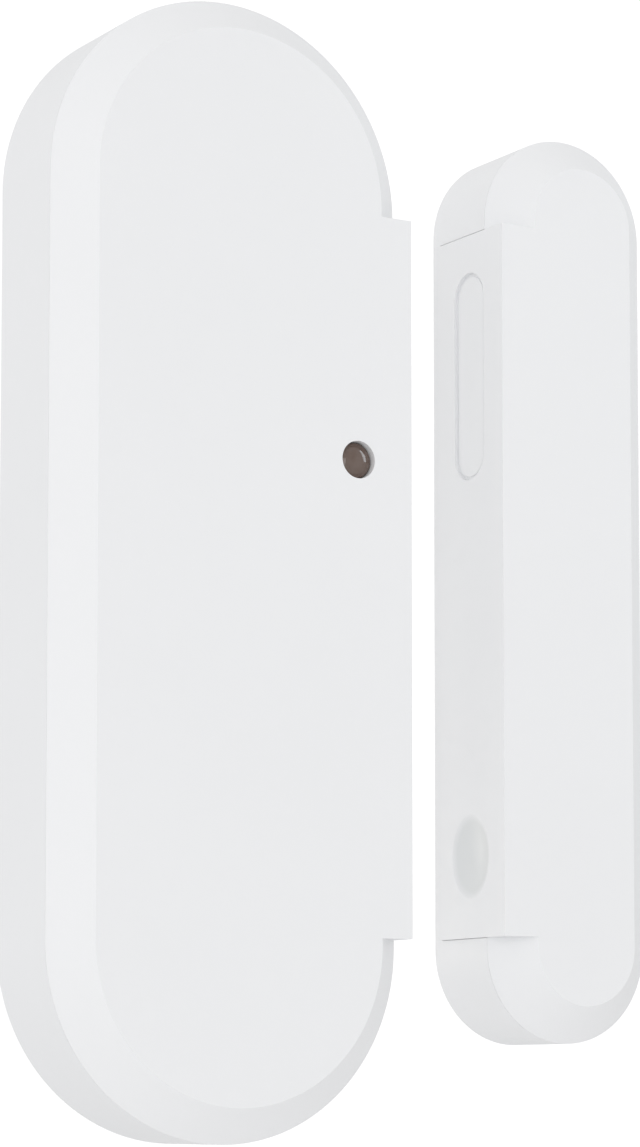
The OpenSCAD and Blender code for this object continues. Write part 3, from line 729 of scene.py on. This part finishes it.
base = base_shell(magnet)
POCKET_T = 0.8
POCKET_H = 3
pocket_x = (bar_high.x - bar_low.x) / 2 + BAR_FIT
pocket_y = (bar_high.y - bar_low.y) / 2 + BAR_FIT
pocket_top = magnet.floor_top + POCKET_H
pocket = block("pocket", bar_x - pocket_x - POCKET_T, bar_x + pocket_x + POCKET_T,
               bar_y - pocket_y - POCKET_T, bar_y + pocket_y + POCKET_T,
               magnet.floor_top - FLOOR_SINK, pocket_top)
cut(pocket, block("pocket_inside", bar_x - pocket_x, bar_x + pocket_x, bar_y - pocket_y, bar_y + pocket_y,
                  magnet.floor_top, pocket_top + REACH))
join(base, pocket)
finish_shell(base, magnet, "base")

# ---------------------------------------------------------------- inner pieces

# Node: width of the rounding on its edges, in millimetres
ROUNDED = {
    "sensor_adhesive_pad": 0.12,
    "magnet_adhesive_pad": 0.12,
    "circuit_board": 0.06,
    "board_screws": 0.10,
    "reed_blades": 0.03,
    "status_led_legs": 0.04,
    "status_led_spacer": 0.08,
    "battery_tray": 0.14,
    "battery_strap": 0.07,
    "battery_negative_contact": 0.06,
    "tamper_switch_body": 0.22,
    "tamper_plunger": 0.16,
    "pairing_button_body": 0.18,
    "pairing_button_cap": 0.20,
    "controller_pins": 0.03,
    "crystal_can": 0.18,
    "buffer_capacitor": 0.16,
    "chip_capacitors": 0.07,
    "chip_resistors": 0.05,
    "bar_magnet": 0.25,
}
for node, width in ROUNDED.items():
    dress(soften(node_solid(node), width), node)

PIN_MARK = {"r": 0.3, "depth": 0.12, "inset": 0.75}
CHIP_ROUND = 0.1
for node in ("controller_chip", "radio_chip"):
    low, high = plan_box(node)
    chip = block(node, low.x, high.x, low.y, high.y, low.z, high.z)
    mark = (low.x + PIN_MARK["inset"], high.y - PIN_MARK["inset"])
    cut(chip, rod("pin_mark", PIN_MARK["r"], high.z - PIN_MARK["depth"], high.z + REACH, mark))
    dress(soften(chip, CHIP_ROUND), node)


CELL = {"dish_inset": 1.5, "dish_rim_inset": 1.2, "dish_depth": 0.05, "roll": 0.35,
        "crimp_w": 0.2, "crimp_h": 0.25, "seal_w": 0.25, "seal_groove_w": 0.1, "seal_groove_h": 0.12,
        "cap_inset": 1.1, "cap_h": 0.3, "cap_edge": 0.12}


def battery_cell():
    """Coin cell: flat can with a rolled edge above, the smaller cap and its sealing ring below."""
    low, high = plan_box("battery_cell")
    r = (high.x - low.x) / 2
    cap_r = r - CELL["cap_inset"]
    roll = CELL["roll"]
    top, rim, foot = high.z, low.z + CELL["cap_h"], low.z
    dish_z = top - CELL["dish_depth"]
    dish = [(0, dish_z), (r - CELL["dish_inset"], dish_z), (r - CELL["dish_rim_inset"], top)]
    rolled = [(r - roll + roll * math.sin(t), top - roll + roll * math.cos(t))
              for t in turns_to(math.pi / 2, 8)]
    crimp = [(r, rim + CELL["crimp_h"]), (r - CELL["crimp_w"], rim)]
    seal = [(cap_r + CELL["seal_w"], rim), (cap_r + CELL["seal_groove_w"], rim + CELL["seal_groove_h"])]
    cap = [(cap_r, rim), (cap_r, foot + CELL["cap_edge"]), (cap_r - CELL["cap_edge"], foot), (0, foot)]
    cell = lathe("cell", dish + rolled + crimp + seal + cap)
    cell.data.transform(Matrix.Translation(((low.x + high.x) / 2, (low.y + high.y) / 2, 0)))
    return shade(cell)


def turns_to(end, steps):
    return [end * i / steps for i in range(steps + 1)]


dress(battery_cell(), "battery_cell")


def status_lens():
    """Domed lens on its collar, one turned solid."""
    collar_r = (lens_high.x - lens_low.x) / 2
    dome_r = (LENS_R ** 2 + DOME_H ** 2) / (2 * DOME_H)
    spread = math.asin(LENS_R / dome_r)
    dome = [(dome_r * math.sin(spread - t), lens_high.z - dome_r * (1 - math.cos(spread - t)))
            for t in turns_to(spread, 24)]
    dome[-1] = (0, lens_high.z)
    step = lens_low.z + COLLAR_H
    foot = [(0, lens_low.z), (collar_r - COLLAR_EDGE, lens_low.z), (collar_r, lens_low.z + COLLAR_EDGE),
            (collar_r, step - COLLAR_EDGE), (collar_r - COLLAR_EDGE, step), (LENS_R, step)]
    lens = lathe("lens", foot + dome)
    lens.data.transform(Matrix.Translation((led_at.x, led_at.y, 0)))
    return shade(lens)


dress(status_lens(), "status_led_lens")


TUBE = {"bore_r": 0.27, "wall": 0.3, "melt": 0.8, "throat_w": 0.15, "throat_l": 0.05, "shoulder_l": 0.5}


def reed_tube():
    """Glass tube with rounded ends melted around the leads, drawn along z and laid along y."""
    low, high = plan_box("reed_glass")
    middle = (low + high) / 2
    r = (high.x - low.x) / 2
    length = high.y - low.y
    bore, melt = TUBE["bore_r"], TUBE["melt"]
    end = [(bore + (r - bore) * math.sin(t), melt * (1 - math.cos(t))) for t in turns_to(math.pi / 2, 10)]
    throat = (bore + TUBE["throat_w"], r + TUBE["throat_l"])
    inner = [(bore, r), throat, (r - TUBE["wall"], r + TUBE["shoulder_l"])]
    outside = end + [(a, length - b) for a, b in reversed(end)]
    inside = [(a, length - b) for a, b in inner] + [(a, b) for a, b in reversed(inner)]
    tube = lathe("tube", outside + inside, 48)
    tube.data.transform(Matrix(((1, 0, 0, middle.x), (0, 0, 1, low.y), (0, -1, 0, middle.z), (0, 0, 0, 1))))
    return shade(tube)


dress(reed_tube(), "reed_glass")


TURN_STEPS = 36
SPRING = {"wire_r": 0.15, "turns": 5.5, "closed_turns": 0.9, "closed_rise": 0.9}


def tamper_spring():
    """Compression spring with a closed turn at each end."""
    low, high = plan_box("tamper_spring")
    wire_r, turns, closed = SPRING["wire_r"], SPRING["turns"], SPRING["closed_turns"]
    r = (high.x - low.x) / 2 - wire_r
    rise = high.z - low.z - 2 * wire_r
    lean = 2 * wire_r * SPRING["closed_rise"]
    centre = (low + high) / 2
    path = []
    for i in range(round(turns * TURN_STEPS) + 1):
        turn = i / TURN_STEPS
        angle = 2 * math.pi * turn
        open_share = min(max((turn - closed) / (turns - 2 * closed), 0), 1)
        ends = lean * min(turn / closed, 1) + lean * max((turn - turns + closed) / closed, 0)
        z = low.z + wire_r + ends + (rise - 2 * lean) * open_share
        path.append(Vector((centre.x + r * math.cos(angle), centre.y + r * math.sin(angle), z)))
    return sweep("spring", path, wire_r)


low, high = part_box("tamper_spring")
spring = shade(tamper_spring())
spring.name = "tamper_spring_piece"
spring.data.transform(PLAN_TO_ROW)
spring.data.materials.append(finishes["spring_steel"].material)
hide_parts("tamper_spring")
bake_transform(spring)


AERIAL = {"wire_r": 0.35, "pitch": 1.6, "bend": 0.5, "dropped_steps": 2}


def aerial():
    """Coil along x, running into a straight leg that is soldered in the board."""
    low, high = plan_box("aerial_coil")
    wire_r, pitch = AERIAL["wire_r"], AERIAL["pitch"]
    r = (high.y - low.y) / 2 - wire_r
    y = (low.y + high.y) / 2
    axis_z = high.z - wire_r - r
    leg_x = high.x - wire_r
    turns = (leg_x - low.x - wire_r) / pitch
    path = []
    for i in range(round(turns * TURN_STEPS) + 1):
        angle = 2 * math.pi * (i / TURN_STEPS - turns) - math.pi / 2
        x = low.x + wire_r + pitch * i / TURN_STEPS
        path.append(Vector((x, y + r * math.cos(angle), axis_z + r * math.sin(angle))))
    path = path[:-AERIAL["dropped_steps"]]
    last = path[-1]
    for t in turns_to(1.0, 10)[1:]:
        path.append(last.lerp(Vector((leg_x, y, axis_z - r - AERIAL["bend"])), t * (2 - t)))
    path.append(Vector((leg_x, y, low.z)))
    return shade(sweep("aerial", path, wire_r))


dress(aerial(), "aerial_coil")

# ---------------------------------------------------------------- board details

COPPER_H = 0.03
TRACK_W = 0.26
POWER_W = 0.7
top = board_high.z
chip_low, chip_high = plan_box("controller_chip")
pins_low, pins_high = plan_box("controller_pins")
radio_low, radio_high = plan_box("radio_chip")
crystal_low, crystal_high = plan_box("crystal_can")
buffer_low, buffer_high = plan_box("buffer_capacitor")
cap_low, cap_high = plan_box("chip_capacitors")
res_low, res_high = plan_box("chip_resistors")
coil_low, coil_high = plan_box("aerial_coil")
reed_low, reed_high = plan_box("reed_blades")
tray_high = plan_box("battery_tray")[1]
leg_low, leg_high = plan_box("status_led_legs")
tamper_low, tamper_high = plan_box("tamper_switch_body")
button_low, button_high = plan_box("pairing_button_body")
PIN_COUNT = 8
PIN_PITCH = 0.65
PART_COUNT = 5
PART_PITCH = 2.4
PART_L = 1.6
PART_W = 0.8
chip_x = (chip_low.x + chip_high.x) / 2
pin_x = [chip_x + (i - (PIN_COUNT - 1) / 2) * PIN_PITCH for i in range(PIN_COUNT)]
cap_y, res_y = (cap_low.y + cap_high.y) / 2, (res_low.y + res_high.y) / 2
part_x = [cap_low.x + PART_L / 2 + i * PART_PITCH for i in range(PART_COUNT)]
radio_x, radio_y = (radio_low.x + radio_high.x) / 2, (radio_low.y + radio_high.y) / 2
buffer_y = (buffer_low.y + buffer_high.y) / 2
crystal_y = (crystal_low.y + crystal_high.y) / 2
reed_x = (reed_low.x + reed_high.x) / 2
LEAD_R = 0.25
LED_LEG_HALF = 0.22
reed_feet = [(reed_x, reed_low.y + LEAD_R), (reed_x, reed_high.y - LEAD_R)]
led_feet = [(led_at.x, leg_low.y + LED_LEG_HALF), (led_at.x, leg_high.y - LED_LEG_HALF)]
aerial_foot = (coil_high.x - AERIAL["wire_r"], (coil_low.y + coil_high.y) / 2)
END_AT = 0.7
vias = [(x + END_AT, res_y - 1.6 - 0.25 * i) for i, x in enumerate(part_x)]
LOOSE_VIAS = [(7.2, 14.2), (8.4, 15.4), (-10.2, 20.5)]


def elbow(a, b, first_along_x=True):
    """A to B by one straight run and one 45-degree run, as tracks are laid."""
    dx, dy = b[0] - a[0], b[1] - a[1]
    run = min(abs(dx), abs(dy))
    sx, sy = math.copysign(run, dx), math.copysign(run, dy)
    middle = (b[0] - sx, b[1] - sy) if first_along_x else (a[0] + sx, a[1] + sy)
    points = [a, middle, b]
    return [p for i, p in enumerate(points) if i == 0 or math.dist(p, points[i - 1]) > 0.05]


# Each track is a path and its width. The small offsets put its ends on the pads, clear of one another.
RADIO_PIN_COUNT = 4
RADIO_W = 0.5
tracks = []
for i in range(PART_COUNT):
    near = pin_x[min(i + 1, PIN_COUNT - 1)]
    tracks.append((elbow((near, pins_high.y), (part_x[i], cap_y - 0.2), False), TRACK_W))
    tracks.append((elbow((near, pins_low.y), (part_x[i], res_y + 0.2), False), TRACK_W))
    tracks.append((elbow((part_x[i] + END_AT, res_y), vias[i]), TRACK_W))
for i in range(RADIO_PIN_COUNT):
    x = radio_low.x + 0.6 + 0.9 * i
    tracks.append((elbow((x, radio_low.y), (part_x[i + 1] + END_AT, cap_y + 0.2), False), TRACK_W))
tracks += [
    (elbow((radio_x, radio_high.y), (aerial_foot[0], aerial_foot[1] - 0.4), False), RADIO_W),
    (elbow((crystal_high.x, crystal_y), (radio_low.x, radio_y - 0.5)), TRACK_W),
    (elbow((crystal_high.x, crystal_y + 0.9), (radio_low.x, radio_y + 0.6)), TRACK_W),
    (elbow(led_feet[0], (part_x[4] + 0.6, cap_y + 0.1), False), TRACK_W),
    (elbow(led_feet[1], (radio_high.x, radio_y + 0.5)), TRACK_W),
    (elbow(reed_feet[1], (part_x[4] + END_AT, cap_y), False), TRACK_W),
    (elbow(reed_feet[0], (tray_high.x - 1.5, tray_high.y - 1.2), False), TRACK_W),
    (elbow((tamper_high.x, tamper_low.y + 1.4), (crystal_low.x, crystal_y - 0.6)), TRACK_W),
    (elbow((tamper_high.x, tamper_high.y - 1.2), (buffer_low.x + 0.4, buffer_y - 0.8), False), TRACK_W),
    (elbow((button_high.x, 0.9), (pins_low.x - 0.2, pins_high.y - 0.3)), TRACK_W),
    (elbow((button_high.x, -0.9), (part_x[0] - END_AT, res_y + 0.1), False), TRACK_W),
    (elbow((buffer_high.x, buffer_y), (radio_x + 0.8, radio_high.y), True), POWER_W),
    (elbow((buffer_low.x, buffer_y + 1), (board_low.x + 1.3, 5.0), False), POWER_W),
    ([(board_low.x + 1.0, 4.6), (board_low.x + 1.0, 14.0)], POWER_W),
    ([(board_low.x + 1.0, -3.0), (board_low.x + 1.0, -9.5)], POWER_W),
]
laid = [ribbon("track", [Vector(p) for p in path], w, top - COPPER_H, top + COPPER_H) for path, w in tracks]
tracks_piece = gather("board_tracks", laid)
tidy_mesh(tracks_piece)
add_trim(tracks_piece, "board_tracks", "board", "sensor")


# Width across x and length along y
PIN_PAD = (0.36, 0.9)
CRYSTAL_PAD = (0.5, 1.1)
BUFFER_PAD = (1.0, 2.6)
RADIO_PAD = (0.5, 0.34)
SWITCH_PAD = (0.9, 0.9)
PIN_PAD_INSET = 0.25
CRYSTAL_PAD_AT = 0.8
PART_PAD_PROUD = 0.1
RADIO_PITCH = 0.85
RADIO_PAD_PROUD = 0.12
TAMPER_PAD_INSET = 0.6
BUTTON_PAD_INSET = 0.8
VIA_R = 0.42
VIA_HOLE_R = 0.18
CONE = {"w": 0.45, "h": 0.55, "curve": 2.2}


def pad(x, y, size):
    w, l = size
    return block("pad", x - w / 2, x + w / 2, y - l / 2, y + l / 2, top - COPPER_H, top + 2 * COPPER_H)


def corner_pads(low, high, inset):
    """Four pads under a switch body: on its two long edges, this far from the corners."""
    return [pad(x, y, SWITCH_PAD) for y in (high.y, low.y) for x in (low.x + inset, high.x - inset)]


def solder_cone(spot, lead_r):
    """Solder that has wetted a lead: a concave cone around it."""
    spread, height = lead_r + CONE["w"], CONE["h"]
    curve = [(lead_r + (spread - lead_r) * (1 - t) ** CONE["curve"], height * t) for t in turns_to(1.0, 8)]
    cone = lathe("solder", [(0, 0)] + curve + [(0, height)], 24)
    cone.data.transform(Matrix.Translation((spot[0], spot[1], top)))
    return cone


solder = [solder_cone(spot, LEAD_R) for spot in reed_feet + led_feet]
solder.append(solder_cone(aerial_foot, AERIAL["wire_r"]))
for x in pin_x:
    for y in (pins_low.y + PIN_PAD_INSET, pins_high.y - PIN_PAD_INSET):
        solder.append(pad(x, y, PIN_PAD))
for x in (crystal_low.x - PART_PAD_PROUD, crystal_high.x + PART_PAD_PROUD):
    for y in (crystal_y - CRYSTAL_PAD_AT, crystal_y + CRYSTAL_PAD_AT):
        solder.append(pad(x, y, CRYSTAL_PAD))
for x in (buffer_low.x - PART_PAD_PROUD, buffer_high.x + PART_PAD_PROUD):
    solder.append(pad(x, buffer_y, BUFFER_PAD))
for side in (-1, 1):
    pad_x = radio_x + side * (radio_high.x - radio_x + RADIO_PAD_PROUD)
    pad_y = radio_y + side * (radio_high.y - radio_y + RADIO_PAD_PROUD)
    for i in range(RADIO_PIN_COUNT):
        along = (i - (RADIO_PIN_COUNT - 1) / 2) * RADIO_PITCH
        solder.append(pad(pad_x, radio_y + along, RADIO_PAD))
        solder.append(pad(radio_x + along, pad_y, RADIO_PAD[::-1]))
solder += corner_pads(tamper_low, tamper_high, TAMPER_PAD_INSET)
solder += corner_pads(button_low, button_high, BUTTON_PAD_INSET)
for spot in vias + LOOSE_VIAS:
    sides = [(VIA_HOLE_R, -COPPER_H), (VIA_R, -COPPER_H), (VIA_R, 2 * COPPER_H), (VIA_HOLE_R, 2 * COPPER_H)]
    ring = lathe("via", sides, 20)
    ring.data.transform(Matrix.Translation((spot[0], spot[1], top)))
    solder.append(ring)
add_trim(shade(gather("solder", solder)), "board_solder", "tinned_steel", "sensor")

END_W = 0.34
END_PROUD = 0.03
PART_END_ROUND = 0.05
ends = []
for y, high_z in ((cap_y, cap_high.z), (res_y, res_high.z)):
    y0, y1 = y - PART_W / 2 - END_PROUD, y + PART_W / 2 + END_PROUD
    for x in part_x:
        for side in (-1, 1):
            outer = x + side * (PART_L / 2 + END_PROUD)
            inner = x + side * (PART_L / 2 - END_W)
            x0, x1 = sorted((inner, outer))
            ends.append(block("end", x0, x1, y0, y1, top, high_z + END_PROUD))
add_trim(soften(gather("ends", ends), PART_END_ROUND), "chip_part_ends", "tinned_steel", "sensor")

BAND = {"x": 0.6, "w": 0.9, "inset": 0.1, "sink": 0.1, "proud": 0.02, "round": 0.01}
band_x = buffer_low.x + BAND["x"]
band = block("band", band_x, band_x + BAND["w"], buffer_low.y + BAND["inset"], buffer_high.y - BAND["inset"],
             buffer_high.z - BAND["sink"], buffer_high.z + BAND["proud"])
add_trim(soften(band, BAND["round"]), "buffer_polarity_band", "resistor_glaze", "sensor")

# ---------------------------------------------------------------- studio

# Places and sizes in metres, powers in watts
FLOOR_Z = -0.25
FLOOR_HALF = 6
WORLD_LIGHT = 0.862
WORLD_LEAN = 0.07
WORLD_SEEN = 1.1
KEY = {"place_at": (-0.50, -0.75, 0.02), "aim": (0.015, 0, 0), "size": (0.45, 0.45), "power": 1.24}
GAP_BOUNCE = {"place_at": (0, 0.06, 0), "aim": (0.0265, -0.007, 0), "size": (0.01, 0.10), "power": 0.00045,
              "spread": 20, "colour": (1.0, 0.95, 0.86)}
LENS_CARD = {"place_at": (0.34, -0.10, 0.16), "aim": (0.011, -0.012, 0.01), "size": (0.22, 0.22),
             "power": 0.62, "colour": (0.86, 0.94, 1.0)}


def area_light(name, place_at, aim, size, power, spread=180, colour=(1, 1, 1)):
    """Soft light of the given width and height, turned from its place to its aim."""
    data = bpy.data.lights.new(name, "AREA")
    data.shape = "RECTANGLE"
    data.size, data.size_y = size
    data.energy = power
    data.spread = math.radians(spread)
    data.color = colour
    lamp = bpy.data.objects.new(name, data)
    lamp.location = place_at
    lamp.rotation_mode = "QUATERNION"
    lamp.rotation_quaternion = (Vector(aim) - Vector(place_at)).to_track_quat("-Z", "Y")
    lamp.visible_camera = False
    bpy.context.scene.collection.objects.link(lamp)
    return lamp


def studio():
    """Paper floor, three lights, and a world that lights the part more softly than it shows itself."""
    corners = [(x * FLOOR_HALF, y * FLOOR_HALF, 0) for x, y in ((-1, -1), (1, -1), (1, 1), (-1, 1))]
    floor = object_from("studio_floor", corners, [(0, 1, 2, 3)])
    floor.location.z = FLOOR_Z
    paper = Nodes("floor_paper")
    paper.link(paper.ramp(paper.noise(3.0), 0.90, 0.93), "Base Color")
    paper.fixed(Roughness=0.9, Specular_IOR_Level=0.0)
    floor.data.materials.append(paper.material)
    floor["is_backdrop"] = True
    world = bpy.data.worlds.new("studio")
    bpy.context.scene.world = world
    world.use_nodes = True
    tree = world.node_tree
    dim = tree.nodes["Background"]
    dim.inputs["Color"].default_value = (1, 1, 1, 1)
    sky = tree.nodes.new("ShaderNodeTexCoord")
    split = tree.nodes.new("ShaderNodeSeparateXYZ")
    lean = tree.nodes.new("ShaderNodeMath")
    lean.operation = "MULTIPLY_ADD"
    lean.inputs[1].default_value = -WORLD_LEAN
    lean.inputs[2].default_value = WORLD_LIGHT
    tree.links.new(sky.outputs["Generated"], split.inputs["Vector"])
    tree.links.new(split.outputs["X"], lean.inputs[0])
    tree.links.new(lean.outputs["Value"], dim.inputs["Strength"])
    bright = tree.nodes.new("ShaderNodeBackground")
    bright.inputs["Color"].default_value = (1, 1, 1, 1)
    bright.inputs["Strength"].default_value = WORLD_SEEN
    seen = tree.nodes.new("ShaderNodeLightPath")
    mix = tree.nodes.new("ShaderNodeMixShader")
    tree.links.new(seen.outputs["Is Camera Ray"], mix.inputs["Fac"])
    tree.links.new(dim.outputs["Background"], mix.inputs[1])
    tree.links.new(bright.outputs["Background"], mix.inputs[2])
    tree.links.new(mix.outputs["Shader"], tree.nodes["World Output"].inputs["Surface"])
    area_light("key", **KEY)
    area_light("gap_bounce", **GAP_BOUNCE)
    area_light("lens_card", **LENS_CARD).visible_diffuse = False
    bpy.context.scene.view_settings.view_transform = "Standard"


def camera():
    """The photograph's viewpoint, from a fit to the housings' outlines, bevels and notches."""
    yaw, pitch = math.radians(-30.965), math.radians(-4.898)
    target = Vector((14.58, -0.8, -18.48)) * MM
    distance = 303.5 * MM
    back = Vector((math.sin(yaw) * math.cos(pitch), -math.cos(yaw) * math.cos(pitch), math.sin(pitch)))
    data = bpy.data.cameras.new("photo_camera")
    data.sensor_width = 36
    data.lens = 109.21
    data.shift_y = 0.2
    data.clip_start = 0.01
    data.clip_end = 50
    eye = bpy.data.objects.new("photo_camera", data)
    eye.location = target + back * distance
    eye.rotation_mode = "QUATERNION"
    eye.rotation_quaternion = (-back).to_track_quat("-Z", "Y")
    bpy.context.scene.collection.objects.link(eye)
    bpy.context.scene.camera = eye


studio()
camera()

low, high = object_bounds()
{"cad": [list(cad_low), list(cad_high)], "visual": [list(low), list(high)]}
